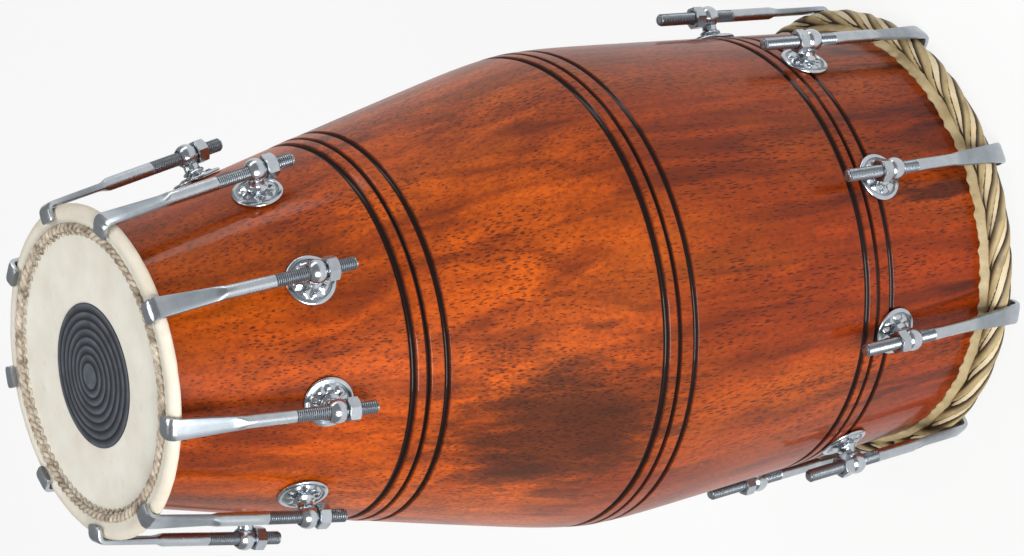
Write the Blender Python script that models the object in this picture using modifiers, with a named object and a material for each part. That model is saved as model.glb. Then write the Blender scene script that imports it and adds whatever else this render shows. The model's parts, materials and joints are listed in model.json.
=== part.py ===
"""A bolt-tuned naal: a one-piece turned wooden drum with a small treble head and a wide bass head.

The drum stands on the claws of its bass hooks, with its axis on Z and the treble head on top.
Each head is a hide lapped round an iron ring. Nine hooks at each end hold the ring down: the claw
of a hook lies over the ring, its rod runs through the eye of a lug bolted to the shell, and a nut
behind the eye pulls it tight. Turning the nut moves the hook along its own axis.
All sizes are in metres and degrees.
"""
import math

import bmesh
import bpy
from mathutils import Matrix, Vector

# Turned shell
SHELL_LENGTH = 0.5665
TREBLE_MOUTH_RADIUS = 0.0778
TREBLE_TAPER = 0.2433           # growth of the radius per metre, going down from the treble mouth
TREBLE_FULLNESS = 0.042         # how far the taper bows outwards, per metre squared
BASS_MOUTH_RADIUS = 0.1321
BASS_TAPER = 0.0655             # growth of the radius per metre, going up from the bass mouth
CROWN_SOFTNESS = 0.0036         # how softly the two tapers run into each other at the belly
TREBLE_WALL = 0.0140
BASS_WALL = 0.0180
MOUTH_ROUND = 0.0030
SHELL_STEPS = 36

# Three bands of three turned grooves, measured down from the treble mouth
BAND_STARTS = (0.1442, 0.2988, 0.4556)
GROOVE_OFFSETS = (0.0, 0.0089, 0.0203)
GROOVE_WIDTHS = (0.0034, 0.0024, 0.0034)
GROOVE_DEPTH = 0.0017

# Hide heads and their iron rings
SKIN_THICKNESS = 0.0016
TREBLE_RING_HALF_WIDTH = 0.0034
TREBLE_RING_HALF_HEIGHT = 0.0023
TREBLE_RING_RADIUS = 0.0925
TREBLE_LAP_THICKNESS = 0.0011
TREBLE_RING_DROP = 0.0009       # centre of the ring below the playing face
BRAID_RADIUS = 0.0842
BRAID_HALF_WIDTH = 0.0028
BRAID_HEIGHT = 0.0034
BASS_RING_RADIUS = 0.1396
BASS_RING_HALF = 0.0040
BASS_LAP_HALF_WIDTH = 0.0066
BASS_LAP_HALF_HEIGHT = 0.0080
BASS_FACE_RECESS = 0.0025       # playing face above the lowest point of the lap
BASS_SKIRT_TOP = 0.0152         # height of the cut edge of the skin above the bass mouth
SKIRT_THICKNESS = 0.0013
BASS_PASTE_RADIUS = 0.0520
BASS_PASTE_THICKNESS = 0.0020
PLEATS = 36
PLEAT_DEPTH = 0.0019
PLEAT_LEAN = 13.0               # degrees that a pleat runs round the drum on its way over the ring
PLEAT_STEP_SHARE = 0.20         # share of a pleat's width that drops to the next one

# Black tuning paste on the treble head
PASTE_RADIUS = 0.0421
PASTE_THICKNESS = 0.0024
PASTE_OFF_CENTRE = 0.0025
PASTE_OFF_DIRECTION = -143.0

# Hooks, lugs and nuts
HOOKS_PER_HEAD = 9
TREBLE_PHASE = 6.5
BASS_PHASE = 2.9
ROD_RADIUS = 0.0040
TREBLE_ROD_TAIL = 0.0245        # from the middle of the eye to the end of the thread
BASS_ROD_TAIL = 0.0386
TAIL_CHAMFER = 0.0010
BLADE_LENGTH = 0.0440
BLADE_SHOULDER = 0.0040
BLADE_ROOT_HALF_THICKNESS = 0.0022
CLAW_THICKNESS = 0.0036
CLAW_WIDTH = 0.0130
CLAW_REACH = 0.0110             # how far the claw reaches inwards from the outside of its blade
CLAW_BEND = 0.0036              # radius of the bend on the blade's middle line
EDGE_CHAMFER = 0.0008
TREBLE_LUG_FROM_MOUTH = 0.0943
BASS_LUG_FROM_MOUTH = 0.0867
EYE_STANDOFF = 0.0155           # middle of the eye above the wood
EYE_RADIUS = 0.0072
EYE_HALF_THICKNESS = 0.0052
POST_RADIUS = 0.0048
ROSETTE_RADIUS = 0.0150
ROSETTE_HEIGHT = 0.0026
ROSETTE_EDGE = 0.0012
SHANK_RADIUS = 0.0039
WASHER_RADIUS = 0.0090
WASHER_THICKNESS = 0.0016
INNER_NUT_THICKNESS = 0.0060
INNER_NUT_RADIUS = 0.0072
NUT_ACROSS_FLATS = 0.0130
NUT_THICKNESS = 0.0070
NUT_CHAMFER = 0.0008

GAP = 0.0003                    # what touching pieces keep between them

# Heights that follow from the sizes above, from the floor up
BASS_LAP_LOW = CLAW_THICKNESS + GAP
BASS_RING_HEIGHT = BASS_LAP_LOW + BASS_LAP_HALF_HEIGHT
BASS_FACE = BASS_LAP_LOW + BASS_FACE_RECESS
SHELL_LOW = BASS_FACE + SKIN_THICKNESS + GAP
SHELL_HIGH = SHELL_LOW + SHELL_LENGTH
TREBLE_FACE = SHELL_HIGH + GAP + SKIN_THICKNESS
TREBLE_RING_HEIGHT = TREBLE_FACE - TREBLE_RING_DROP
TREBLE_LAP_HALF_WIDTH = TREBLE_RING_HALF_WIDTH + GAP + TREBLE_LAP_THICKNESS
TREBLE_LAP_HALF_HEIGHT = TREBLE_RING_HALF_HEIGHT + GAP + TREBLE_LAP_THICKNESS


def remove_everything():
    """Empty the file without closing it."""
    for thing in list(bpy.data.objects):
        bpy.data.objects.remove(thing)
    for mesh in list(bpy.data.meshes):
        bpy.data.meshes.remove(mesh)


def new_collection(name):
    """A collection linked to the scene."""
    collection = bpy.data.collections.new(name)
    bpy.context.scene.collection.children.link(collection)
    return collection


def new_material(name, colour, roughness, metallic=0.0):
    """A Principled material with a plain colour."""
    material = bpy.data.materials.new(name)
    material.use_nodes = True
    shader = material.node_tree.nodes["Principled BSDF"]
    shader.inputs["Base Color"].default_value = (*colour, 1.0)
    shader.inputs["Roughness"].default_value = roughness
    shader.inputs["Metallic"].default_value = metallic
    material.diffuse_color = (*colour, 1.0)
    return material


def shell_radius(height):
    """Outer radius of the shell: two tapers run into each other by a soft minimum."""
    down = SHELL_HIGH - height
    up = height - SHELL_LOW
    treble = TREBLE_MOUTH_RADIUS + TREBLE_TAPER * down - TREBLE_FULLNESS * down * down
    bass = BASS_MOUTH_RADIUS + BASS_TAPER * up
    low = min(treble, bass)
    excess = math.exp((low - treble) / CROWN_SOFTNESS) + math.exp((low - bass) / CROWN_SOFTNESS)
    return low - CROWN_SOFTNESS * math.log(excess)


def shell_slope(height):
    """Change of the shell's outer radius per metre of height."""
    step = 0.0005
    return (shell_radius(height + step) - shell_radius(height - step)) / (2 * step)


def wall_at(height):
    """Thickness of the shell's wall, which grows towards the bass mouth."""
    share = (SHELL_HIGH - height) / SHELL_LENGTH
    return TREBLE_WALL + (BASS_WALL - TREBLE_WALL) * share


def ellipse_points(centre, half_width, half_height, start, end, count):
    """Points on an ellipse in the section plane, from one angle to another in degrees."""
    points = []
    for index in range(count):
        angle = math.radians(start + (end - start) * index / (count - 1))
        points.append((centre[0] + half_width * math.cos(angle),
                       centre[1] + half_height * math.sin(angle)))
    return points


def pocket_points(centre, half_width, half_height, start, end, count):
    """Points like those of an ellipse, moved out until the straight lines between them clear it."""
    reach = 1 / math.cos(math.radians((end - start) / (count - 1) / 2))
    return ellipse_points(centre, half_width * reach, half_height * reach, start, end, count)


def finish_mesh(mesh, material):
    """Give a mesh its material, and shade it smooth with its edges kept sharp."""
    mesh.materials.clear()
    mesh.materials.append(material)
    mesh.shade_smooth()
    mesh.set_sharp_from_angle(angle=math.radians(35))


def add_turned(name, profile, steps, collection, closed=False):
    """A turned piece: a profile of radius and height, carried round Z by a Screw modifier."""
    mesh = bpy.data.meshes.new(name)
    edges = [(index, index + 1) for index in range(len(profile) - 1)]
    if closed:
        edges.append((len(profile) - 1, 0))
    mesh.from_pydata([(radius, 0.0, height) for radius, height in profile], edges, [])
    piece = bpy.data.objects.new(name, mesh)
    collection.objects.link(piece)
    screw = piece.modifiers.new("Turn", "SCREW")
    screw.axis = "Z"
    screw.angle = math.radians(360)
    screw.steps = steps
    screw.render_steps = steps
    screw.use_merge_vertices = True
    screw.merge_threshold = 0.00001
    screw.use_smooth_shade = True
    return piece


def add_boolean(piece, cutter, operation):
    """Cut or join one object by another with the exact solver."""
    modifier = piece.modifiers.new(operation.title(), "BOOLEAN")
    modifier.operation = operation
    modifier.object = cutter
    modifier.solver = "EXACT"


def baked_mesh(piece, name):
    """The mesh of an object with its modifiers applied, after which the object is removed."""
    graph = bpy.context.evaluated_depsgraph_get()
    mesh = bpy.data.meshes.new_from_object(piece.evaluated_get(graph))
    mesh.name = name
    bpy.data.objects.remove(piece)
    return mesh


def add_piece(name, mesh, collection, matrix):
    """An object that shows a mesh at a place."""
    piece = bpy.data.objects.new(name, mesh)
    collection.objects.link(piece)
    piece.matrix_world = matrix
    return piece


def shell_profile():
    """Outline of the shell from the treble mouth down its outside, and back up the bore."""
    corner = MOUTH_ROUND * (1 - math.sqrt(0.5))
    outside = [(SHELL_HIGH, MOUTH_ROUND), (SHELL_HIGH - corner, corner), (SHELL_HIGH - MOUTH_ROUND, 0.0)]
    stations = [0.050, 0.100]
    for start in BAND_STARTS:
        for offset, width in zip(GROOVE_OFFSETS, GROOVE_WIDTHS):
            middle = start + offset
            outside.append((SHELL_HIGH - middle + width / 2, 0.0))
            outside.append((SHELL_HIGH - middle, GROOVE_DEPTH))
            outside.append((SHELL_HIGH - middle - width / 2, 0.0))
    last = GROOVE_OFFSETS[-1]
    for first, second, count in ((BAND_STARTS[0] + last, BAND_STARTS[1], 3),
                                 (BAND_STARTS[1] + last, BAND_STARTS[2], 3),
                                 (BAND_STARTS[2] + last, SHELL_LENGTH, 1)):
        stations += [first + (second - first) * (index + 1) / (count + 1) for index in range(count)]
    outside += [(SHELL_HIGH - down, 0.0) for down in stations]
    outside += [(SHELL_LOW + MOUTH_ROUND, 0.0), (SHELL_LOW + corner, corner), (SHELL_LOW, MOUTH_ROUND)]
    outside.sort(key=lambda point: -point[0])
    profile = [(shell_radius(height) - depth, height) for height, depth in outside]
    bore_heights = [SHELL_LOW]
    bore_heights += [SHELL_LOW + SHELL_LENGTH * share for share in (0.25, 0.40, 0.50, 0.70)]
    bore_heights.append(SHELL_HIGH)
    profile += [(shell_radius(height) - wall_at(height), height) for height in bore_heights]
    return profile


def treble_skin_profile():
    """Section of the treble hide, from the middle of its face round the ring and back below."""
    ring = (TREBLE_RING_RADIUS, TREBLE_RING_HEIGHT)
    braid_low = BRAID_RADIUS - BRAID_HALF_WIDTH
    braid_high = BRAID_RADIUS + BRAID_HALF_WIDTH
    inner_width = TREBLE_RING_HALF_WIDTH + GAP
    inner_height = TREBLE_RING_HALF_HEIGHT + GAP
    profile = [(0.0, TREBLE_FACE), (braid_low, TREBLE_FACE)]
    profile.append((BRAID_RADIUS - BRAID_HALF_WIDTH / 2, TREBLE_FACE + BRAID_HEIGHT))
    profile.append((BRAID_RADIUS + BRAID_HALF_WIDTH / 2, TREBLE_FACE + BRAID_HEIGHT))
    profile.append((braid_high, TREBLE_FACE + SKIN_THICKNESS / 2))
    profile += ellipse_points(ring, TREBLE_LAP_HALF_WIDTH, TREBLE_LAP_HALF_HEIGHT, 105, -165, 7)
    profile += pocket_points(ring, inner_width, inner_height, -165, 120, 7)
    profile.append((braid_high, TREBLE_FACE - SKIN_THICKNESS))
    profile.append((0.0, TREBLE_FACE - SKIN_THICKNESS))
    return profile


def bass_skin_profile():
    """Section of the bass hide, and which of its points lie on the pleated lap.

    It runs from the middle of the inner face out to the shell's edge, round the pocket of the
    ring, up the shell's side to the cut edge, and down over the pleats to the playing face.
    """
    ring = (BASS_RING_RADIUS, BASS_RING_HEIGHT)
    pocket = BASS_RING_HALF + GAP
    inner_face = BASS_FACE + SKIN_THICKNESS
    skirt_high = SHELL_LOW + BASS_SKIRT_TOP
    paste_face = inner_face + BASS_PASTE_THICKNESS
    profile = [(0.0, paste_face), (BASS_PASTE_RADIUS * 0.9, paste_face), (BASS_PASTE_RADIUS, inner_face)]
    corner = shell_radius(SHELL_LOW) + GAP
    profile.append((corner, inner_face))
    profile += pocket_points(ring, pocket, pocket, 215, 505, 6)
    lap_top = ring[1] + pocket
    profile.append((shell_radius(lap_top) + GAP, lap_top))
    profile.append((shell_radius(skirt_high) + GAP, skirt_high))
    profile.append((shell_radius(skirt_high) + GAP + SKIRT_THICKNESS, skirt_high - SKIRT_THICKNESS / 2))
    first = len(profile)
    lap = ellipse_points(ring, BASS_LAP_HALF_WIDTH, BASS_LAP_HALF_HEIGHT, 115, -105, 7)
    profile += lap
    pleated = range(first, len(profile))
    profile.append((corner - 0.0010, BASS_FACE))
    profile.append((0.0, BASS_FACE))
    return profile, pleated


def bass_skin_mesh(collection):
    """The bass hide: a turned skin whose lap is pushed into leaning pleats.

    Every pleat has two columns of points. The second is lower and close to the next pleat, so
    each pleat rises slowly and drops at its end. Lower points of the lap are turned further
    round the drum, which makes the pleats lean.
    """
    profile, pleated = bass_skin_profile()
    mesh = baked_mesh(add_turned("bass_skin", profile, 2 * PLEATS, collection), "bass_skin")
    tops = [Vector(point) for point in profile]
    first, last = pleated[0], pleated[-1]
    half_pitch = math.pi / PLEATS
    for vertex in mesh.vertices:
        flat = Vector((math.hypot(vertex.co.x, vertex.co.y), vertex.co.z))
        if flat.x < BASS_PASTE_RADIUS * 1.01:
            continue
        row = min(range(len(tops)), key=lambda index: (tops[index] - flat).length)
        angle = math.atan2(vertex.co.y, vertex.co.x)
        column = round(angle / half_pitch)
        if row < first:
            along = (first - row) / first
            lean = PLEAT_LEAN * (1 - along)
        elif row > last:
            lean = 0.0
        else:
            lean = PLEAT_LEAN * (last - row) / (last - first)
        radius, height = flat
        if column % 2 and row in pleated:
            depth = PLEAT_DEPTH * math.sin(math.pi * (row - first + 1) / (last - first + 2))
            away = (flat - Vector((BASS_RING_RADIUS, BASS_RING_HEIGHT))).normalized()
            radius -= depth * away.x
            height -= depth * away.y
        shift = half_pitch * (1 - 2 * PLEAT_STEP_SHARE) if column % 2 and row in pleated else 0.0
        turned = column * half_pitch + shift + math.radians(lean)
        vertex.co = (radius * math.cos(turned), radius * math.sin(turned), height)
    mesh.update()
    return mesh


class End:
    """Where the hardware of one head lies, in the section plane of radius and height."""

    def __init__(self, name, up, mouth, from_mouth, phase, ring, lap, tail, lap_end):
        self.name = name
        self.phase = phase
        self.tail = tail
        self.base_height = mouth - up * from_mouth
        base = Vector((shell_radius(self.base_height), self.base_height))
        self.normal = Vector((1.0, -shell_slope(self.base_height))).normalized()
        self.along_wall = up * Vector((-self.normal.y, self.normal.x))
        self.eye = base + EYE_STANDOFF * self.normal
        self.arm_middle = lap_end + up * (GAP + CLAW_THICKNESS / 2)
        self.direction = self.rod_direction(up, ring, lap)
        self.outward = Vector((up * self.direction.y, -up * self.direction.x))
        self.corner = self.eye + self.direction * ((self.arm_middle - self.eye.y) / self.direction.y)

    def rod_direction(self, up, ring, lap):
        """Direction from the eye to the claw, with the blade just clear of the lapped ring."""
        to_ring = Vector(ring) - self.eye
        direction = Vector((0.0, up))
        for _ in range(8):
            across = Vector((up * direction.y, -up * direction.x))
            support = math.hypot(lap[0] * across.x, lap[1] * across.y)
            distance = support + GAP + CLAW_THICKNESS / 2
            swing = math.asin(distance / to_ring.length)
            heading = math.atan2(to_ring.y, to_ring.x) - up * swing
            direction = Vector((math.cos(heading), math.sin(heading)))
        return direction

    def frame(self, origin, x_axis, z_axis, index):
        """World matrix of a piece at the given hook, from its axes in the section plane."""
        x_world = Vector((x_axis.x, 0.0, x_axis.y))
        z_world = Vector((z_axis.x, 0.0, z_axis.y))
        y_world = z_world.cross(x_world)
        matrix = Matrix((x_world, y_world, z_world)).transposed().to_4x4()
        matrix.translation = (origin.x, 0.0, origin.y)
        turn = self.phase + 360.0 * index / HOOKS_PER_HEAD
        return Matrix.Rotation(math.radians(turn), 4, "Z") @ matrix


def section_points(half_width, half_thickness, chamfer):
    """Eight corners of a chamfered bar, as offsets across and outwards."""
    wide = half_width - chamfer
    thick = half_thickness - chamfer
    return [(half_width, -thick), (half_width, thick), (wide, half_thickness), (-wide, half_thickness),
            (-half_width, thick), (-half_width, -thick), (-wide, -half_thickness), (wide, -half_thickness)]


def round_section(radius):
    """The same eight corners on a circle."""
    flat = radius * math.cos(math.radians(22.5))
    return section_points(flat, flat, flat - radius * math.sin(math.radians(22.5)))


def hook_mesh(end, material):
    """A hook: a round rod forged to a widening blade and bent over into a claw.

    Its sections are lofted along the rod's middle line, in a frame whose Z axis is the rod and
    whose X axis points away from the drum, with the eye's middle as the origin.
    """
    corner_z = (end.corner - end.eye).length
    arm = Vector((-1.0, 0.0))
    arm_local = Vector((arm.dot(end.outward), arm.dot(end.direction)))
    turn = math.acos(max(-1.0, min(1.0, arm_local.y)))
    tangent = CLAW_BEND * math.tan(turn / 2)
    blade_start = corner_z - BLADE_LENGTH
    half = CLAW_THICKNESS / 2
    half_width = CLAW_WIDTH / 2
    # each station: middle point, direction, section
    stations = [
        ((0.0, -end.tail), 0.0, round_section(ROD_RADIUS - TAIL_CHAMFER)),
        ((0.0, -end.tail + TAIL_CHAMFER), 0.0, round_section(ROD_RADIUS)),
        ((0.0, blade_start), 0.0, round_section(ROD_RADIUS)),
        ((0.0, blade_start + BLADE_SHOULDER), 0.0,
         section_points(ROD_RADIUS * 1.03, BLADE_ROOT_HALF_THICKNESS, EDGE_CHAMFER)),
        ((0.0, corner_z - tangent), 0.0, section_points(half_width, half, EDGE_CHAMFER)),
    ]
    centre = Vector((-CLAW_BEND, corner_z - tangent))
    for share in (1 / 3, 2 / 3, 1.0):
        angle = turn * share
        middle = centre + CLAW_BEND * Vector((math.cos(angle), math.sin(angle)))
        stations.append((tuple(middle), angle, section_points(half_width, half, EDGE_CHAMFER)))
    reach = CLAW_REACH - half
    tip = Vector((0.0, corner_z)) + arm_local * reach
    stations.append((tuple(tip), turn, section_points(half_width * 0.97, half, EDGE_CHAMFER)))
    shape = bmesh.new()
    loops = []
    for middle, angle, section in stations:
        outward = Vector((math.cos(angle), math.sin(angle)))
        loop = []
        for across, out in section:
            loop.append(shape.verts.new((middle[0] + outward.x * out, across, middle[1] + outward.y * out)))
        loops.append(loop)
    for lower, upper in zip(loops, loops[1:]):
        for index in range(8):
            following = (index + 1) % 8
            shape.faces.new((lower[index], lower[following], upper[following], upper[index]))
    shape.faces.new(list(reversed(loops[0])))
    shape.faces.new(loops[-1])
    bmesh.ops.recalc_face_normals(shape, faces=shape.faces)
    mesh = bpy.data.meshes.new(end.name + "_hook")
    shape.to_mesh(mesh)
    shape.free()
    finish_mesh(mesh, material)
    return mesh


def lug_mesh(end, collection, material):
    """A lug: an eye on a post with a pressed rosette, a shank through the wall, washer and nut.

    X points away from the wood and the origin is the middle of the eye, whose hole lies along
    the hook's rod.
    """
    steps = 10
    bore = (ROD_RADIUS + GAP) / math.cos(math.pi / steps)
    face = math.sqrt(EYE_RADIUS ** 2 - EYE_HALF_THICKNESS ** 2)
    eye_profile = [
        (bore, EYE_HALF_THICKNESS),
        (face, EYE_HALF_THICKNESS),
        (EYE_RADIUS, 0.0),
        (face, -EYE_HALF_THICKNESS),
        (bore, -EYE_HALF_THICKNESS),
    ]
    eye = add_turned(end.name + "_eye", eye_profile, steps, collection, closed=True)
    tilt = math.atan2(end.direction.dot(end.normal), end.direction.dot(end.along_wall))
    eye.matrix_world = Matrix.Rotation(tilt, 4, "Y")

    # heights along the post, measured from the wood outwards
    inner = shell_radius(end.base_height) - wall_at(end.base_height)
    facet_drop = inner * (1 - math.cos(math.pi / SHELL_STEPS))
    washer_drop = WASHER_RADIUS ** 2 / (2 * inner)
    wall = wall_at(end.base_height) * end.normal.x
    washer_top = -(wall + facet_drop + washer_drop + GAP)
    nut_top = washer_top - WASHER_THICKNESS
    nut_low = nut_top - INNER_NUT_THICKNESS
    post_top = EYE_STANDOFF - (ROD_RADIUS + GAP + EYE_RADIUS) / 2
    post_profile = [
        (0.0, post_top),
        (POST_RADIUS, post_top),
        (POST_RADIUS, ROSETTE_HEIGHT),
        (ROSETTE_RADIUS, ROSETTE_EDGE),
        (ROSETTE_RADIUS, GAP),
        (SHANK_RADIUS, GAP),
        (SHANK_RADIUS, washer_top),
        (WASHER_RADIUS, washer_top),
        (WASHER_RADIUS, nut_top),
        (INNER_NUT_RADIUS, nut_top),
        (INNER_NUT_RADIUS, nut_low),
        (0.0, nut_low),
    ]
    profile = [(radius, height - EYE_STANDOFF) for radius, height in post_profile]
    post = add_turned(end.name + "_post", profile, steps, collection)
    post.matrix_world = Matrix.Rotation(math.radians(90), 4, "Y")
    add_boolean(post, eye, "UNION")
    mesh = baked_mesh(post, end.name + "_lug")
    mesh.transform(Matrix.Rotation(math.radians(90), 4, "Y"))
    bpy.data.objects.remove(eye)
    finish_mesh(mesh, material)
    return mesh


def nut_mesh(name, collection, material):
    """A hexagon nut, chamfered at its outer end, with its middle at the origin and its axis on Z."""
    corner = NUT_ACROSS_FLATS / 2 / math.cos(math.radians(30))
    half = NUT_THICKNESS / 2
    outside = [(0.0, half), (corner, half), (corner, NUT_CHAMFER - half),
               (corner - NUT_CHAMFER, -half), (0.0, -half)]
    nut = add_turned(name, outside, 6, collection)
    bore = (ROD_RADIUS + GAP) / math.cos(math.pi / 10)
    drill = add_turned(name + "_drill", [(0.0, 2 * half), (bore, 2 * half), (bore, -2 * half),
                                         (0.0, -2 * half)], 10, collection)
    add_boolean(nut, drill, "DIFFERENCE")
    mesh = baked_mesh(nut, name)
    bpy.data.objects.remove(drill)
    finish_mesh(mesh, material)
    return mesh


def add_shell(ends, collection, cutters, material):
    """The wooden shell, turned inside and out, with a drilled hole for each lug's shank."""
    shell = add_turned("shell", shell_profile(), SHELL_STEPS, collection, closed=True)
    shell.data.materials.append(material)
    drills = bmesh.new()
    length = 3 * BASS_WALL
    hole = (SHANK_RADIUS + GAP) / math.cos(math.pi / 10)
    for end in ends:
        for index in range(HOOKS_PER_HEAD):
            matrix = end.frame(end.eye - EYE_STANDOFF * end.normal, end.normal, end.along_wall, index)
            matrix = matrix @ Matrix.Rotation(math.radians(90), 4, "Y")
            bmesh.ops.create_cone(drills, cap_ends=True, segments=10, radius1=hole, radius2=hole,
                                  depth=length, matrix=matrix)
    mesh = bpy.data.meshes.new("lug_drills")
    drills.to_mesh(mesh)
    drills.free()
    cutter = add_piece("lug_drills", mesh, cutters, Matrix.Identity(4))
    cutter.hide_render = True
    cutter.display_type = "WIRE"
    add_boolean(shell, cutter, "DIFFERENCE")
    return shell


def add_hardware(end, collection, steel):
    """Nine lugs, hooks and nuts round one end of the shell."""
    lug = lug_mesh(end, collection, steel)
    hook = hook_mesh(end, steel)
    nut = nut_mesh(end.name + "_nut", collection, steel)
    nut_middle = end.eye - end.direction * (EYE_HALF_THICKNESS + GAP + NUT_THICKNESS / 2)
    for index in range(HOOKS_PER_HEAD):
        number = str(index + 1)
        add_piece(end.name + "_lug_" + number, lug, collection,
                  end.frame(end.eye, end.normal, end.along_wall, index))
        add_piece(end.name + "_hook_" + number, hook, collection,
                  end.frame(end.eye, end.outward, end.direction, index))
        add_piece(end.name + "_nut_" + number, nut, collection,
                  end.frame(nut_middle, end.outward, end.direction, index))


def add_treble_head(collection, hide, iron, paste):
    """The treble hide with its iron ring and its black paste."""
    skin = add_turned("treble_skin", treble_skin_profile(), SHELL_STEPS, collection)
    skin.data.materials.append(hide)
    section = ellipse_points((TREBLE_RING_RADIUS, TREBLE_RING_HEIGHT), TREBLE_RING_HALF_WIDTH,
                             TREBLE_RING_HALF_HEIGHT, 360, 72, 5)
    ring = add_turned("treble_ring", section, SHELL_STEPS, collection, closed=True)
    ring.data.materials.append(iron)
    low = TREBLE_FACE + GAP
    profile = [(0.0, low + PASTE_THICKNESS), (PASTE_RADIUS * 0.35, low + PASTE_THICKNESS * 0.92),
               (PASTE_RADIUS * 0.88, low + PASTE_THICKNESS * 0.42), (PASTE_RADIUS, low + PASTE_THICKNESS * 0.15),
               (PASTE_RADIUS, low), (0.0, low)]
    spot = add_turned("treble_paste", profile, 30, collection)
    spot.data.materials.append(paste)
    direction = math.radians(PASTE_OFF_DIRECTION)
    spot.location = (PASTE_OFF_CENTRE * math.cos(direction), PASTE_OFF_CENTRE * math.sin(direction), 0.0)


def add_bass_head(collection, hide, iron):
    """The pleated bass hide and its iron ring."""
    mesh = bass_skin_mesh(collection)
    finish_mesh(mesh, hide)
    add_piece("bass_skin", mesh, collection, Matrix.Identity(4))
    section = ellipse_points((BASS_RING_RADIUS, BASS_RING_HEIGHT), BASS_RING_HALF, BASS_RING_HALF, 360, 72, 5)
    ring = add_turned("bass_ring", section, 2 * PLEATS, collection, closed=True)
    ring.data.materials.append(iron)


remove_everything()
drum = new_collection("naal")
cutters = new_collection("cutters")

wood = new_material("varnished_hardwood", (0.36, 0.09, 0.02), 0.18)
steel = new_material("plated_steel", (0.70, 0.72, 0.74), 0.28, 1.0)
iron = new_material("plain_iron", (0.16, 0.15, 0.14), 0.60, 1.0)
cream_hide = new_material("cream_goat_hide", (0.80, 0.74, 0.60), 0.62)
tan_hide = new_material("tan_pleated_hide", (0.42, 0.31, 0.17), 0.66)
black_paste = new_material("black_paste", (0.025, 0.027, 0.032), 0.72)

treble_end = End("treble", 1, SHELL_HIGH, TREBLE_LUG_FROM_MOUTH, TREBLE_PHASE,
                 (TREBLE_RING_RADIUS, TREBLE_RING_HEIGHT), (TREBLE_LAP_HALF_WIDTH, TREBLE_LAP_HALF_HEIGHT),
                 TREBLE_ROD_TAIL, TREBLE_RING_HEIGHT + TREBLE_LAP_HALF_HEIGHT)
bass_end = End("bass", -1, SHELL_LOW, BASS_LUG_FROM_MOUTH, BASS_PHASE,
               (BASS_RING_RADIUS, BASS_RING_HEIGHT), (BASS_LAP_HALF_WIDTH, BASS_LAP_HALF_HEIGHT),
               BASS_ROD_TAIL, BASS_LAP_LOW)

add_shell((treble_end, bass_end), drum, cutters, wood)
add_treble_head(drum, cream_hide, iron, black_paste)
add_bass_head(drum, tan_hide, iron)
add_hardware(treble_end, drum, steel)
add_hardware(bass_end, drum, steel)
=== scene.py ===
"""The looks of a bolt-tuned naal: varnished shell, hide heads, plated hooks, lugs and nuts."""
import json
import math

import bmesh
import bpy
import numpy as np
from mathutils import Matrix, Vector


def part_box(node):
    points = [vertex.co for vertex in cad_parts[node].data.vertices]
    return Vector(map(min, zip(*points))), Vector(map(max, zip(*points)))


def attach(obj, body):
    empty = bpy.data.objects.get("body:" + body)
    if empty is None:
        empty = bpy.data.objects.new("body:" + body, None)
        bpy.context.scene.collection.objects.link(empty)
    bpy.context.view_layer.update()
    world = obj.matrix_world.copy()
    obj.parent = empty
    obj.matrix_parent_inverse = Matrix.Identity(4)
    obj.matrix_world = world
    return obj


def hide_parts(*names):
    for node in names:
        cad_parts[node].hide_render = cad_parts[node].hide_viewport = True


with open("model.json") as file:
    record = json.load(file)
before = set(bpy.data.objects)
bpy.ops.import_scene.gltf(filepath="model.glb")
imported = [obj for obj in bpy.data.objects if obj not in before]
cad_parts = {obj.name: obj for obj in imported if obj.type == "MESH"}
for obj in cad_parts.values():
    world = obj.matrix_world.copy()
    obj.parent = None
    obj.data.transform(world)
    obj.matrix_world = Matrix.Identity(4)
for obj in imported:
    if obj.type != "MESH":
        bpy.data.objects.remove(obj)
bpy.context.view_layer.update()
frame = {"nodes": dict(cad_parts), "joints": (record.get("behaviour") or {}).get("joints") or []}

# Camera and frame
# The drum stands upright here and lies in the picture, so the camera is turned almost onto its
# side. It looks down on the treble head from a good two metres.
IMAGE_WIDTH = 1024
IMAGE_HEIGHT = 556
FOCAL_PIXELS = 3846.77
HEAD_PIXEL = (91.3, 372.4)
HEAD_DEPTH = 2.1927
AXIS_FROM_VIEW = math.radians(56.57)
AXIS_TILT = math.radians(10.17)
DRUM_TURN = math.radians(-5.95)
HEAD_HEIGHT = 0.577


def add_camera():
    """A camera placed from where it sees the treble head and from the direction of the drum's axis."""
    down = Vector((math.sin(AXIS_FROM_VIEW) * math.cos(AXIS_TILT),
                   math.sin(AXIS_FROM_VIEW) * math.sin(AXIS_TILT), -math.cos(AXIS_FROM_VIEW)))
    side = Vector((0.0, 1.0, 0.0))
    side = (side - down * side.dot(down)).normalized()
    third = down.cross(side)
    seen = Matrix((down, side, third))
    side_world = Vector((math.cos(DRUM_TURN), math.sin(DRUM_TURN), 0.0))
    down_world = Vector((0.0, 0.0, -1.0))
    world = Matrix((down_world, side_world, down_world.cross(side_world))).transposed()
    turn = world @ seen
    head = Vector(((HEAD_PIXEL[0] - IMAGE_WIDTH / 2) / FOCAL_PIXELS,
                   (IMAGE_HEIGHT / 2 - HEAD_PIXEL[1]) / FOCAL_PIXELS, -1.0)) * HEAD_DEPTH
    camera = bpy.data.objects.new("camera", bpy.data.cameras.new("camera"))
    bpy.context.scene.collection.objects.link(camera)
    camera.data.sensor_width = 36.0
    camera.data.lens = FOCAL_PIXELS * 36.0 / IMAGE_WIDTH
    camera.data.clip_end = 20.0
    camera.matrix_world = Matrix.Translation(Vector((0.0, 0.0, HEAD_HEIGHT)) - turn @ head) @ turn.to_4x4()
    bpy.context.scene.camera = camera


add_camera()

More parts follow.
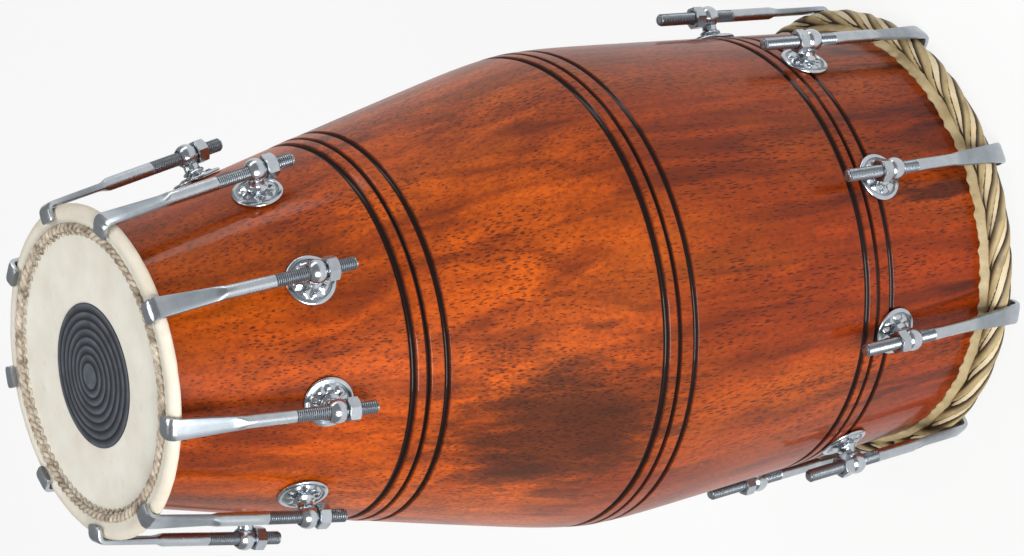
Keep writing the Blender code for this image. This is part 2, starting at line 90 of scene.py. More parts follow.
# Varnished shell
# One trunk of hardwood, turned inside and out and varnished orange-red. Three bands of three
# grooves are cut and burnt black by friction. It carries everything else.
SHELL_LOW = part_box("shell")[0].z
SHELL_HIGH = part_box("shell")[1].z
TREBLE_MOUTH_RADIUS = 0.0778
TREBLE_TAPER = 0.2433
TREBLE_FULLNESS = 0.042
BASS_MOUTH_RADIUS = 0.1321
BASS_TAPER = 0.0655
CROWN_SOFTNESS = 0.0036
SHELL_COLUMNS = 216
OUTSIDE_ROWS = 90
BORE_ROWS = 40
BAND_STARTS = (0.1442, 0.2988, 0.4556)
GROOVE_OFFSETS = (0.0, 0.0089, 0.0203)
GROOVE_WIDTHS = (0.0050, 0.0034, 0.0044)
GROOVE_DEPTH = 0.0017
GROOVE_FLATNESS = 0.7
BEAD_RISE = 0.0003
BAND_LEAD = 0.0035
BAND_REACH = 0.0255
BAND_STEP = 0.00045
MOUTH_ROUND = 0.0030
TREBLE_WALL = 0.0140
BASS_WALL = 0.0180


def shell_radius(height):
    """Radius of the shell: the softer minimum of a bowed treble taper and a straight bass taper."""
    down = SHELL_HIGH - np.asarray(height, float)
    treble = TREBLE_MOUTH_RADIUS + TREBLE_TAPER * down - TREBLE_FULLNESS * down ** 2
    bass = BASS_MOUTH_RADIUS + BASS_TAPER * (SHELL_HIGH - SHELL_LOW - down)
    return -CROWN_SOFTNESS * np.logaddexp(-treble / CROWN_SOFTNESS, -bass / CROWN_SOFTNESS)


def wall_thickness(height):
    """The shell's wall, which grows evenly from the treble mouth to the bass mouth."""
    share = (SHELL_HIGH - height) / (SHELL_HIGH - SHELL_LOW)
    return TREBLE_WALL + (BASS_WALL - TREBLE_WALL) * share


def turned(profile, columns):
    """Points of a turned surface: each profile point (radius, height) carried round Z."""
    profile = np.asarray(profile, float)
    angle = np.linspace(0.0, 2 * np.pi, columns, endpoint=False)
    points = np.empty((len(profile), columns, 3))
    points[..., 0] = profile[:, :1] * np.cos(angle)
    points[..., 1] = profile[:, :1] * np.sin(angle)
    points[..., 2] = profile[:, 1:2]
    return points


def sheet_of(points, loop=False, tag=None):
    """A surface whose columns close round, whose rows close as a loop or end in two caps.

    tag is one number for each row or each point, which the material can read. The UV map runs
    round the columns and along the rows.
    """
    rows, columns = points.shape[:2]
    index = np.arange(rows * columns).reshape(rows, columns)
    below = np.vstack([index, index[:1]]) if loop else index
    first = below[:-1]
    second = below[1:]
    quads = np.stack([first, np.roll(first, -1, 1), np.roll(second, -1, 1), second], -1).reshape(-1, 4)
    row_of, column_of = np.divmod(np.arange(len(quads)), columns)
    u = np.stack([column_of, column_of + 1, column_of + 1, column_of], -1) / columns
    v = np.stack([row_of, row_of, row_of + 1, row_of + 1], -1) / max(rows - 1, 1)
    corners = [np.stack([u, v], -1).reshape(-1, 2)]
    faces = quads.tolist()
    vertices = points.reshape(-1, 3)
    values = np.zeros((rows, columns)) if tag is None else np.asarray(tag, float)
    values = np.broadcast_to(values.reshape(rows, -1), (rows, columns)).reshape(-1)
    if not loop:
        share = np.arange(columns) / columns
        for end in (0, rows - 1):
            ring = index[end]
            fan = np.stack([ring, np.roll(ring, -1), np.full(columns, len(vertices))], -1)
            faces += fan.tolist()
            vertices = np.vstack([vertices, points[end].mean(0)])
            values = np.append(values, values[end * columns])
            level = np.full(columns, float(end > 0))
            at = np.stack([share, level], -1)
            after = np.stack([share + 1 / columns, level], -1)
            corners.append(np.stack([at, after, at], 1).reshape(-1, 2))
    return vertices, faces, np.vstack(corners), values


SHARP_ANGLE = math.radians(38)


def add_piece(name, sheets, material, body, covers=()):
    """One object made of closed sheets, shaded smooth, riding on a body and standing for CAD nodes."""
    vertices = []
    faces = []
    corners = []
    values = []
    for sheet in sheets:
        offset = sum(len(part) for part in vertices)
        vertices.append(sheet[0])
        faces += [[corner + offset for corner in face] for face in sheet[1]]
        corners.append(sheet[2])
        values.append(sheet[3])
    mesh = bpy.data.meshes.new(name)
    mesh.from_pydata(np.vstack(vertices).tolist(), [], faces)
    mesh.uv_layers.new(name="surface").data.foreach_set("uv", np.vstack(corners).astype(np.float32).ravel())
    tag = mesh.attributes.new("tag", "FLOAT", "POINT")
    tag.data.foreach_set("value", np.concatenate(values).astype(np.float32))
    shape = bmesh.new()
    shape.from_mesh(mesh)
    bmesh.ops.recalc_face_normals(shape, faces=shape.faces)
    shape.to_mesh(mesh)
    shape.free()
    mesh.shade_smooth()
    mesh.set_sharp_from_angle(angle=SHARP_ANGLE)
    mesh.materials.append(material)
    piece = bpy.data.objects.new(name, mesh)
    bpy.context.scene.collection.objects.link(piece)
    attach(piece, body)
    if covers:
        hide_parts(*covers)
    return piece


def shell_sheet():
    """The shell's section: fine steps down the outside with grooves cut in, then up the bore.

    Each groove is a cosine dip; the wood between the grooves of a band rises as a low bead.
    tag is 1 at the bottom of a groove, 0 on the plain wood and -1 in the bore.
    """
    down = np.unique(np.concatenate(
        [np.linspace(MOUTH_ROUND, SHELL_HIGH - SHELL_LOW - MOUTH_ROUND, OUTSIDE_ROWS)]
        + [start + np.arange(-BAND_LEAD, BAND_REACH, BAND_STEP) for start in BAND_STARTS]))
    depth = np.zeros_like(down)
    burn = np.zeros_like(down)
    for start in BAND_STARTS:
        span = (down - start) / GROOVE_OFFSETS[-1]
        inside = (span > 0) & (span < 1)
        depth -= np.where(inside, BEAD_RISE * np.sin(np.pi * np.clip(span, 0, 1)), 0.0)
        for offset, width in zip(GROOVE_OFFSETS, GROOVE_WIDTHS):
            away = np.abs(down - start - offset) / (width / 2)
            dip = 0.5 + 0.5 * np.cos(np.pi * np.clip(away, 0, 1))
            depth += (GROOVE_DEPTH + BEAD_RISE) * dip ** GROOVE_FLATNESS
            # the char is full over the middle half of a groove and fades out just past its edge
            burn = np.maximum(burn, np.clip(1.9 - 1.6 * away, 0, 1))
    height = SHELL_HIGH - down
    outside = np.stack([shell_radius(height) - depth, height], -1)
    arc = np.linspace(0, np.pi / 2, 7)
    top_edge = shell_radius(SHELL_HIGH) - MOUTH_ROUND
    top = np.stack([top_edge + MOUTH_ROUND * np.sin(arc[:-1]),
                    SHELL_HIGH - MOUTH_ROUND + MOUTH_ROUND * np.cos(arc[:-1])], -1)
    low_edge = shell_radius(SHELL_LOW) - MOUTH_ROUND
    low = np.stack([low_edge + MOUTH_ROUND * np.cos(arc[1:]),
                    SHELL_LOW + MOUTH_ROUND - MOUTH_ROUND * np.sin(arc[1:])], -1)
    bore_height = np.linspace(SHELL_LOW, SHELL_HIGH, BORE_ROWS)
    bore = np.stack([shell_radius(bore_height) - wall_thickness(bore_height), bore_height], -1)
    profile = np.vstack([top, outside, low, bore])
    tag = np.concatenate([np.zeros(len(top)), burn, np.zeros(len(low)), np.full(len(bore), -1.0)])
    return sheet_of(turned(profile, SHELL_COLUMNS), loop=True, tag=tag)


def linear(code):
    """A colour from an sRGB hex code, turned to linear light."""
    parts = [int(code[index:index + 2], 16) / 255 for index in (1, 3, 5)]
    light = [part / 12.92 if part <= 0.04045 else ((part + 0.055) / 1.055) ** 2.4 for part in parts]
    return (*light, 1.0)


def add_node(tree, kind, settings=None, links=None):
    """Add a node, set its properties, and give its inputs values or links."""
    node = tree.nodes.new(kind)
    for key, value in (settings or {}).items():
        setattr(node, key, value)
    for key, value in (links or {}).items():
        socket = node.inputs[key]
        if isinstance(value, bpy.types.NodeSocket):
            tree.links.new(value, socket)
        else:
            socket.default_value = value
    return node


def new_material(name, **values):
    """A material with its Principled shader's plain values set; returns it with its tree and shader."""
    material = bpy.data.materials.new(name)
    material.use_nodes = True
    tree = material.node_tree
    shader = tree.nodes["Principled BSDF"]
    for key, value in values.items():
        shader.inputs[key.replace("_", " ")].default_value = value
    return material, tree, shader


def repeated(tree, across, along=None):
    """Object coordinates with so many repeats a metre across and along the drum."""
    place = add_node(tree, "ShaderNodeTexCoord").outputs["Object"]
    repeats = (across, across, along or across)
    return add_node(tree, "ShaderNodeMapping", links={"Vector": place, "Scale": repeats}).outputs["Vector"]


def noise(tree, vector, detail=3.0, roughness=0.55, distortion=0.0):
    """Noise on a vector that already has its scale."""
    return add_node(tree, "ShaderNodeTexNoise", links={
        "Vector": vector, "Scale": 1.0, "Detail": detail, "Roughness": roughness,
        "Distortion": distortion}).outputs["Fac"]


def ramp(tree, value, stops):
    """A colour ramp from pairs of position and hex code, or position and grey level."""
    node = add_node(tree, "ShaderNodeValToRGB", links={"Fac": value})
    stripe = node.color_ramp
    while len(stripe.elements) < len(stops):
        stripe.elements.new(0.5)
    for element, (place, colour) in zip(stripe.elements, stops):
        element.position = place
        element.color = linear(colour) if isinstance(colour, str) else (colour, colour, colour, 1.0)
    return node.outputs["Color"]


def mixed(tree, factor, first, second, blend="MIX"):
    """Mix two colours."""
    node = add_node(tree, "ShaderNodeMix", {"data_type": "RGBA", "blend_type": blend})
    for socket, value in ((node.inputs[0], factor), (node.inputs[6], first), (node.inputs[7], second)):
        if isinstance(value, bpy.types.NodeSocket):
            tree.links.new(value, socket)
        elif isinstance(value, str):
            socket.default_value = linear(value)
        else:
            socket.default_value = value
    return node.outputs[2]


def calculated(tree, operation, first, second=0.0, third=0.0, clamp=False):
    """A Math node."""
    node = add_node(tree, "ShaderNodeMath", {"operation": operation, "use_clamp": clamp})
    for socket, value in zip(node.inputs, (first, second, third)):
        if isinstance(value, bpy.types.NodeSocket):
            tree.links.new(value, socket)
        else:
            socket.default_value = value
    return node.outputs[0]


def bumped(tree, shader, height, distance, strength=1.0):
    """Drive a shader's normal with a height map of so many metres."""
    node = add_node(tree, "ShaderNodeBump", links={
        "Height": height, "Distance": distance, "Strength": strength})
    tree.links.new(node.outputs["Normal"], shader.inputs["Normal"])


def tag_of(tree):
    """The tag stored on the points of a piece."""
    return add_node(tree, "ShaderNodeAttribute", {"attribute_name": "tag"}).outputs["Fac"]


HEARTWOOD_CENTRE = (-0.083, -0.101, 0.333)
HEARTWOOD_REPEATS = (17.0, 17.0, 11.5)


def wood_material():
    """Hardwood under a glossy orange-red varnish, redder towards the bass head.

    Streaks and open pores run along the drum. A patch of dark brown heartwood lies on one side
    above the belly. Grooves are burnt black, and the bore is bare wood.
    """
    material, tree, shader = new_material("varnished_hardwood", Roughness=0.45, Coat_Weight=0.30,
                                          Coat_Roughness=0.08, Coat_IOR=1.45, Specular_IOR_Level=0.10)
    place = add_node(tree, "ShaderNodeTexCoord").outputs["Object"]
    height = add_node(tree, "ShaderNodeSeparateXYZ", links={"Vector": place}).outputs["Z"]
    share = calculated(tree, "DIVIDE", height, SHELL_HIGH)
    # the varnish's colour along the drum, with a border that wavers
    warp = calculated(tree, "SUBTRACT", noise(tree, repeated(tree, 5, 2.5), detail=2.0), 0.5)
    along = calculated(tree, "ADD", calculated(tree, "MINIMUM", share, 1.0),
                       calculated(tree, "MULTIPLY", warp, 0.16))
    base = ramp(tree, along, [(0.0, "#9A3606"), (0.22, "#9C3804"), (0.45, "#9C3C02"), (0.58, "#C45604"),
                              (0.82, "#BA4C02"), (1.0, "#9E3E02")])
    # dark streaks, light clouds and a fine mottle
    streaks = noise(tree, repeated(tree, 70, 5), detail=5.0, roughness=0.6, distortion=0.6)
    base = mixed(tree, ramp(tree, streaks, [(0.36, 0.0), (0.66, 0.80)]), base, "#4A1602")
    clouds = noise(tree, repeated(tree, 14, 6), detail=3.0)
    base = mixed(tree, ramp(tree, clouds, [(0.48, 0.0), (0.78, 0.34)]), base, "#D86C08")
    mottle = noise(tree, repeated(tree, 520, 260), detail=2.0)
    base = mixed(tree, ramp(tree, mottle, [(0.42, 0.0), (0.68, 0.55)]), base, "#6A2206")
    # the heartwood: dark within a ragged ellipsoid round its centre
    moved = add_node(tree, "ShaderNodeVectorMath", {"operation": "SUBTRACT"},
                     {0: place, 1: HEARTWOOD_CENTRE}).outputs[0]
    scaled = add_node(tree, "ShaderNodeVectorMath", {"operation": "MULTIPLY"},
                      {0: moved, 1: HEARTWOOD_REPEATS}).outputs[0]
    away = add_node(tree, "ShaderNodeVectorMath", {"operation": "LENGTH"}, {0: scaled}).outputs["Value"]
    ragged = noise(tree, repeated(tree, 95, 12), detail=7.0, roughness=0.75)
    away = calculated(tree, "ADD", away, calculated(tree, "MULTIPLY", ragged, 2.3))
    patch = ramp(tree, calculated(tree, "DIVIDE", away, 2.9), [(0.56, 0.84), (0.68, 0.50), (0.76, 0.0)])
    base = mixed(tree, patch, base, "#35180A")
    # black streaks that thin out above the bass end
    figure = noise(tree, repeated(tree, 55, 7), detail=4.0, roughness=0.6)
    lower = ramp(tree, share, [(0.12, 0.85), (0.48, 0.0)])
    black = calculated(tree, "MULTIPLY", ramp(tree, figure, [(0.50, 0.0), (0.62, 1.0)]), lower)
    base = mixed(tree, black, base, "#3C1206")
    # pores: short dark dashes, drawn about 1.3 mm wide so that they show, denser in some places
    pores = add_node(tree, "ShaderNodeTexVoronoi", {"feature": "F1"}, {
        "Vector": repeated(tree, 760, 110), "Scale": 1.0, "Randomness": 1.0}).outputs["Distance"]
    density = noise(tree, repeated(tree, 30, 9), detail=2.0)
    reach = calculated(tree, "MULTIPLY_ADD", density, 0.50, 0.02)
    pore = calculated(tree, "LESS_THAN", pores, reach)
    base = mixed(tree, calculated(tree, "MULTIPLY", pore, 0.72), base, "#300E03")
    tag = tag_of(tree)
    burnt = calculated(tree, "MAXIMUM", tag, 0.0)
    base = mixed(tree, burnt, base, "#160A08")
    bare = calculated(tree, "LESS_THAN", tag, -0.5)
    base = mixed(tree, bare, base, "#9C6A40")
    tree.links.new(base, shader.inputs["Base Color"])
    ripple = noise(tree, repeated(tree, 34, 16), detail=2.0)
    relief = calculated(tree, "SUBTRACT", calculated(tree, "MULTIPLY", ripple, 0.8),
                        calculated(tree, "MULTIPLY", pore, 0.10))
    bumped(tree, shader, relief, 0.0006, 0.35)
    return material


add_piece("turned_shell", [shell_sheet()], wood_material(), "drum", ["shell"])

# Treble hide
# A scraped goat skin stretched over the small mouth. It is lapped round an iron ring, and its
# edge is sewn down inside the ring under a twisted cord.
TREBLE_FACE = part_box("treble_paste")[0].z - 0.0003
TREBLE_RING_RADIUS = 0.0925
TREBLE_RING_HEIGHT = TREBLE_FACE - 0.0009
TREBLE_LAP = (0.0048, 0.0037)
TREBLE_LAP_THICKNESS = 0.0011
SKIN_THICKNESS = 0.0016
BRAID_RADIUS = 0.0842
CENTRE_RADIUS = 0.004
FACE_ROWS = 40
RISE_ROWS = 10
TREBLE_LAP_ROWS = 34
HEAD_COLUMNS = 288


def oval(centre, half_width, half_height, start, end, count):
    """Section points on an ellipse from one angle to another in degrees."""
    angle = np.radians(np.linspace(start, end, count))
    return np.stack([centre[0] + half_width * np.cos(angle), centre[1] + half_height * np.sin(angle)], -1)


def waves(angle, seed, counts, size):
    """A sum of a few sine waves round the drum, with phases drawn from a seed."""
    chance = np.random.default_rng(seed)
    total = np.zeros_like(angle)
    for count in counts:
        total += np.sin(count * angle + chance.uniform(0, 2 * np.pi)) * chance.uniform(0.5, 1.0)
    return size * total / len(counts)


def treble_skin_sheet():
    """The hide's section carried round the drum, with the lap slightly lumpy and creased.

    tag runs from 0 on the playing face to 1 below the lap.
    """
    ring = (TREBLE_RING_RADIUS, TREBLE_RING_HEIGHT)
    face = np.stack([np.linspace(CENTRE_RADIUS, BRAID_RADIUS - 0.0045, FACE_ROWS),
                     np.full(FACE_ROWS, TREBLE_FACE)], -1)
    rise = np.stack([np.linspace(BRAID_RADIUS - 0.0040, BRAID_RADIUS + 0.0026, RISE_ROWS),
                     TREBLE_FACE + 0.0013 * np.sin(np.linspace(0, np.pi / 2, RISE_ROWS))], -1)
    lap = oval(ring, TREBLE_LAP[0], TREBLE_LAP[1], 118, -160, TREBLE_LAP_ROWS)
    inner = oval(ring, TREBLE_LAP[0] - TREBLE_LAP_THICKNESS, TREBLE_LAP[1] - TREBLE_LAP_THICKNESS,
                 -160, 120, 16)
    back_face = TREBLE_FACE - SKIN_THICKNESS
    under = np.linspace((BRAID_RADIUS, back_face), (CENTRE_RADIUS, back_face), 12)
    profile = np.vstack([face, rise, lap, inner, under])
    tag = np.concatenate([np.zeros(FACE_ROWS), np.linspace(0.05, 0.25, RISE_ROWS),
                          np.linspace(0.3, 1.0, TREBLE_LAP_ROWS), np.ones(len(inner) + len(under))])
    points = turned(profile, HEAD_COLUMNS)
    angle = np.linspace(0, 2 * np.pi, HEAD_COLUMNS, endpoint=False)
    lumps = np.abs(waves(angle, 3, (7, 13, 22, 31, 47), 0.00035))
    lap_start = FACE_ROWS + RISE_ROWS
    on_lap = slice(lap_start, lap_start + TREBLE_LAP_ROWS)
    centre = np.stack([ring[0] * np.cos(angle), ring[0] * np.sin(angle), np.full_like(angle, ring[1])], -1)
    away = points[on_lap] - centre
    away /= np.linalg.norm(away, axis=-1, keepdims=True)
    points[on_lap] -= away * lumps[None, :, None]
    dish = waves(angle, 5, (3, 5, 8), 0.00012)
    points[:FACE_ROWS, :, 2] += dish[None, :] * (np.linspace(0, 1, FACE_ROWS) ** 2)[:, None]
    return sheet_of(points, tag=tag)


def cream_hide():
    """Scraped hide: ivory and matte, with faint clouds, browner in patches towards the shell over the lap,
    and fine grain.
    """
    material, tree, shader = new_material("scraped_goat_hide", Roughness=0.58, Subsurface_Weight=0.06,
                                          Subsurface_Scale=0.002)
    tag = tag_of(tree)
    clouds = noise(tree, repeated(tree, 38), detail=4.0)
    base = mixed(tree, ramp(tree, clouds, [(0.35, 0.0), (0.75, 0.8)]), "#E2DFD4", "#D0CABA")
    spots = noise(tree, repeated(tree, 130), detail=3.0)
    base = mixed(tree, ramp(tree, spots, [(0.60, 0.0), (0.80, 0.30)]), base, "#AFA084")
    # the lap is made browner in patches the further it turns towards the shell
    lap = ramp(tree, tag, [(0.22, 0.0), (0.36, 0.35), (0.85, 0.75), (1.0, 1.0)])
    lap_blotches = noise(tree, repeated(tree, 60, 200), detail=4.0)
    lap_browning = calculated(tree, "MULTIPLY", lap, calculated(tree, "MULTIPLY_ADD", lap_blotches, 1.1, 0.1), clamp=True)
    base = mixed(tree, lap_browning, base, "#B9A27C")
    tree.links.new(base, shader.inputs["Base Color"])
    grain = noise(tree, repeated(tree, 900), detail=3.0)
    crease = noise(tree, repeated(tree, 160), detail=4.0)
    bumped(tree, shader, calculated(tree, "MULTIPLY_ADD", crease, 1.6, grain), 0.00012, 0.6)
    return material


add_piece("treble_hide", [treble_skin_sheet()], cream_hide(), "drum", ["treble_skin"])

BRAID_TWISTS = 52
BRAID_STITCHES = 84


def tube_sheet(path, radius, sides):
    """A closed tube round a ring of points: a circle in the plane square to the path at each point."""
    ahead = np.roll(path, -1, 0) - np.roll(path, 1, 0)
    ahead /= np.linalg.norm(ahead, axis=1, keepdims=True)
    guide = path * np.array([1.0, 1.0, 0.0])
    guide /= np.linalg.norm(guide, axis=1, keepdims=True)
    first = guide - ahead * (guide * ahead).sum(1, keepdims=True)
    first /= np.linalg.norm(first, axis=1, keepdims=True)
    second = np.cross(ahead, first)
    turn = np.linspace(0, 2 * np.pi, sides, endpoint=False)[None, :, None]
    radius = np.broadcast_to(np.asarray(radius, float).reshape(-1, 1, 1), (len(path), 1, 1))
    points = path[:, None] + radius * (np.cos(turn) * first[:, None] + np.sin(turn) * second[:, None])
    return sheet_of(points, loop=True)


def braid_sheets():
    """Two soft strands twisted round each other on a ring, and a fine lacing that zigzags inside it."""
    sheets = []
    angle = np.linspace(0, 2 * np.pi, BRAID_TWISTS * 14, endpoint=False)
    for strand in range(2):
        phase = BRAID_TWISTS * angle + np.pi * strand
        radius = BRAID_RADIUS + 0.0013 * np.cos(phase)
        height = TREBLE_FACE + 0.0024 + 0.0007 * np.sin(phase)
        path = np.stack([radius * np.cos(angle), radius * np.sin(angle), height], -1)
        thick = 0.00130 + 0.00010 * np.sin(9 * angle + strand)
        sheets.append(tube_sheet(path, thick, 10))
    angle = np.linspace(0, 2 * np.pi, BRAID_STITCHES * 8, endpoint=False)
    radius = BRAID_RADIUS - 0.0037 + 0.0010 * np.sin(BRAID_STITCHES * angle)
    height = TREBLE_FACE + 0.0006 + 0.0002 * np.cos(2 * BRAID_STITCHES * angle)
    path = np.stack([radius * np.cos(angle), radius * np.sin(angle), height], -1)
    sheets.append(tube_sheet(path, 0.0006, 8))
    return sheets


def cord_material():
    """Twisted hide and cotton cord, grey-beige and dirty in its hollows."""
    material, tree, shader = new_material("twisted_sewing_cord", Roughness=0.85)
    clouds = noise(tree, repeated(tree, 170), detail=4.0)
    base = ramp(tree, clouds, [(0.28, "#6A5A48"), (0.48, "#A59786"), (0.72, "#CDC2B0")])
    tree.links.new(base, shader.inputs["Base Color"])
    fibres = noise(tree, repeated(tree, 1500), detail=3.0)
    bumped(tree, shader, fibres, 0.0003, 0.7)
    return material


add_piece("treble_braid", braid_sheets(), cord_material(), "drum")

# Black paste
# Rice paste and iron dust rubbed on in thin layers, each smaller than the one below, and
# polished with a stone. It sits a little off the middle of the head.
PASTE_LOW, PASTE_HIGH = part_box("treble_paste")
PASTE_CENTRE = ((PASTE_LOW.x + PASTE_HIGH.x) / 2, (PASTE_LOW.y + PASTE_HIGH.y) / 2)
PASTE_RADIUS = (PASTE_HIGH.x - PASTE_LOW.x) / 2
PASTE_THICKNESS = 0.0024
PASTE_LAYERS = 8
PASTE_COLUMNS = 144
# how far in from the layer's edge, share of its height, and how much painted shade, from its foot to its top
PASTE_EDGE = ((0.0, 0.0, 1.0), (0.0001, 0.55, 0.7), (0.0005, 0.92, 0.2), (0.0011, 1.0, 0.0))


def paste_sheet():
    """Eight stacked discs whose edges are rounded and waver a little; tag paints shade on the layers' edges.
    """
    profile = [(PASTE_RADIUS, -0.0002)]
    tag = [1.0]
    for layer in range(PASTE_LAYERS):
        outer = PASTE_RADIUS * (1 - layer / (PASTE_LAYERS + 0.6))
        low = PASTE_THICKNESS * layer / PASTE_LAYERS
        high = PASTE_THICKNESS * (layer + 1) / PASTE_LAYERS
        for step, lift, step_shade in PASTE_EDGE:
            profile.append((outer - step, low + (high - low) * lift))
            tag.append(step_shade)
    profile.append((0.001, PASTE_THICKNESS))
    tag.append(0.0)
    points = turned(profile, PASTE_COLUMNS)
    angle = np.linspace(0, 2 * np.pi, PASTE_COLUMNS, endpoint=False)
    for row in range(1, len(profile)):
        layer = (row - 1) // len(PASTE_EDGE)
        if layer > 0:
            points[row, :, :2] *= 1 + waves(angle, 20 + layer, (2, 3, 5), 0.012)[:, None]
    points += np.array([PASTE_CENTRE[0], PASTE_CENTRE[1], PASTE_LOW.z])
    return sheet_of(points, tag=tag)


def paste_material():
    """Burnished black paste: slate grey, with painted shade in the steps, and a fine granular surface."""
    material, tree, shader = new_material("burnished_black_paste", Roughness=0.62)
    clouds = noise(tree, repeated(tree, 120), detail=4.0)
    base = ramp(tree, clouds, [(0.3, "#3E424C"), (0.7, "#5A5F6A")])
    # painted shade: each layer's rim is darkened to near black, most at its foot
    base = mixed(tree, calculated(tree, "MULTIPLY", tag_of(tree), 1.3, clamp=True), base, "#0B0C10")
    tree.links.new(base, shader.inputs["Base Color"])
    grains = noise(tree, repeated(tree, 1100), detail=3.0)
    bumped(tree, shader, grains, 0.00025, 0.6)
    return material


add_piece("stepped_paste", [paste_sheet()], paste_material(), "drum", ["treble_paste"])

# Bass hide
# A thicker skin, lapped wet round its ring and left in broad leaning pleats. Its cut edge lies
# ragged on the shell. Inside it carries a disc of heavy paste.
BASS_RING_RADIUS = 0.1396
BASS_LAP = (0.0066, 0.0080)
BASS_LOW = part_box("bass_skin")[0].z
BASS_RING_HEIGHT = BASS_LOW + BASS_LAP[1]
BASS_FACE = BASS_LOW + 0.0025
BASS_SKIRT_TOP = SHELL_LOW + 0.0152
BASS_PASTE_RADIUS = 0.052
BASS_PASTE_THICKNESS = 0.0020
BASS_FACE_EDGE = 0.1315
PLEATS = 36
PLEAT_DEPTH = 0.0026
PLEAT_LEAN = 30.0
COLUMNS_A_PLEAT = 22
SKIRT_ROWS = 8
BASS_LAP_ROWS = 44
# rows of the section between which the pleats lean, and between which they rise and fade
LEAN_ROWS = (4, 54)
FADE_ROWS = (5, 57)


def pleats_at(phase):
    """How far each point stands out, and its painted light and shade, at a phase counted in pleats.

    A pleat starts high, sinks slowly with fine wrinkles and darkens with painted shade, then drops
    into a gap painted dark as shade, out of which the next one climbs. Its width and wrinkles are drawn by
    chance.
    """
    chance = np.random.default_rng(11)
    share = np.mod(phase, 1.0)
    pleat = np.floor(phase).astype(int) % PLEATS
    width = chance.uniform(0.50, 0.80, PLEATS)[pleat]
    wrinkle = chance.uniform(0.0, 2 * np.pi, PLEATS)[pleat]
    climb = np.clip(share / width, 0, 1)
    drop = np.clip((share - width) / (1 - width), 0, 1)
    creases = np.abs(np.sin(5.0 * climb + wrinkle))
    body = 1 - 0.30 * climb ** 2.2 - 0.22 * (1 - climb) ** 6 - 0.09 * creases
    gap = 0.60 * (1 - drop / 0.35).clip(0, 1) ** 2 + 0.78 * ((drop - 0.70) / 0.30).clip(0, 1) ** 2
    # painted light and shade: light on a pleat's early crest, painted shade growing towards its fall and in
    # its wrinkles; the gap below is painted darker still
    light = 1 - 0.78 * ((climb - 0.42) / 0.58).clip(0, 1) ** 1.3 - 0.10 * creases
    on_pleat = share < width
    return np.where(on_pleat, body, gap), np.where(on_pleat, light, 0.4 * gap)


def bass_skin_sheet():
    """The bass skin: a turned section whose lap is pushed in by leaning pleats.

    The pattern is turned further round the drum as it goes over the ring. tag is the painted
    light and shade of the pleats on the lap, from 2 at the skirt's cut edge down to 1 or less,
    with painted shade where the skirt meets the folds, and 3 on the flat faces.
    """
    columns = PLEATS * COLUMNS_A_PLEAT
    angle = np.linspace(0, 2 * np.pi, columns, endpoint=False)
    ring = (BASS_RING_RADIUS, BASS_RING_HEIGHT)
    skirt_start = (shell_radius(BASS_SKIRT_TOP) + 0.0005, BASS_SKIRT_TOP)
    skirt = np.linspace(skirt_start, oval(ring, BASS_LAP[0], BASS_LAP[1], 118, 118, 1)[0], SKIRT_ROWS)
    lap = oval(ring, BASS_LAP[0], BASS_LAP[1], 112, -112, BASS_LAP_ROWS)
    face = np.linspace((BASS_FACE_EDGE, BASS_FACE), (0.003, BASS_FACE), 24)
    back_face = BASS_FACE + SKIN_THICKNESS
    paste_face = back_face + BASS_PASTE_THICKNESS
    inner = [(0.003, paste_face), (BASS_PASTE_RADIUS - 0.002, paste_face),
             (BASS_PASTE_RADIUS, back_face), (BASS_FACE_EDGE, back_face)]
    pocket = oval(ring, 0.0056, 0.0066, -148, 132, 14)
    back = [(shell_radius(BASS_SKIRT_TOP - 0.003) + 0.0003, BASS_SKIRT_TOP - 0.003),
            (shell_radius(BASS_SKIRT_TOP) + 0.0003, BASS_SKIRT_TOP - 0.0004)]
    profile = np.vstack([skirt, lap, face, inner, pocket, back])
    points = turned(profile, columns)
    row = np.arange(len(profile))
    lean = math.radians(PLEAT_LEAN) * (1 - np.interp(row, LEAN_ROWS, (0.0, 1.0)))
    wander = waves(angle, 8, (5, 9, 14, 23), 0.30)
    fold, light = pleats_at((angle[None, :] + lean[:, None]) * PLEATS / (2 * np.pi) + wander[None, :])
    fade = np.sin(np.pi * np.interp(row, FADE_ROWS, (0.0, 1.0))) ** 0.45
    depth = PLEAT_DEPTH * (1 - fold) * np.where(row < LEAN_ROWS[1], fade, 0.0)[:, None]
    centre = np.stack([ring[0] * np.cos(angle), ring[0] * np.sin(angle), np.full_like(angle, ring[1])], -1)
    away = points - centre
    away /= np.linalg.norm(away, axis=-1, keepdims=True)
    points -= away * depth[..., None]
    ragged = waves(angle, 15, (9, 17, 36, 41, 72, 113), 0.0030)
    points[:4, :, 2] += ragged * np.array([[1.0], [0.75], [0.5], [0.25]])
    points[-1, :, 2] += ragged
    # the pleats' painted light and shade becomes tag; the skirt's end is painted darker as shade over the
    # folds' low parts
    tag = light
    tag[:SKIRT_ROWS] = 2.0 - np.linspace(0, 1, SKIRT_ROWS)[:, None] ** 3 * (1 - 0.5 * fold[:SKIRT_ROWS])
    tag[SKIRT_ROWS + BASS_LAP_ROWS:] = 3.0
    return sheet_of(points, tag=tag)


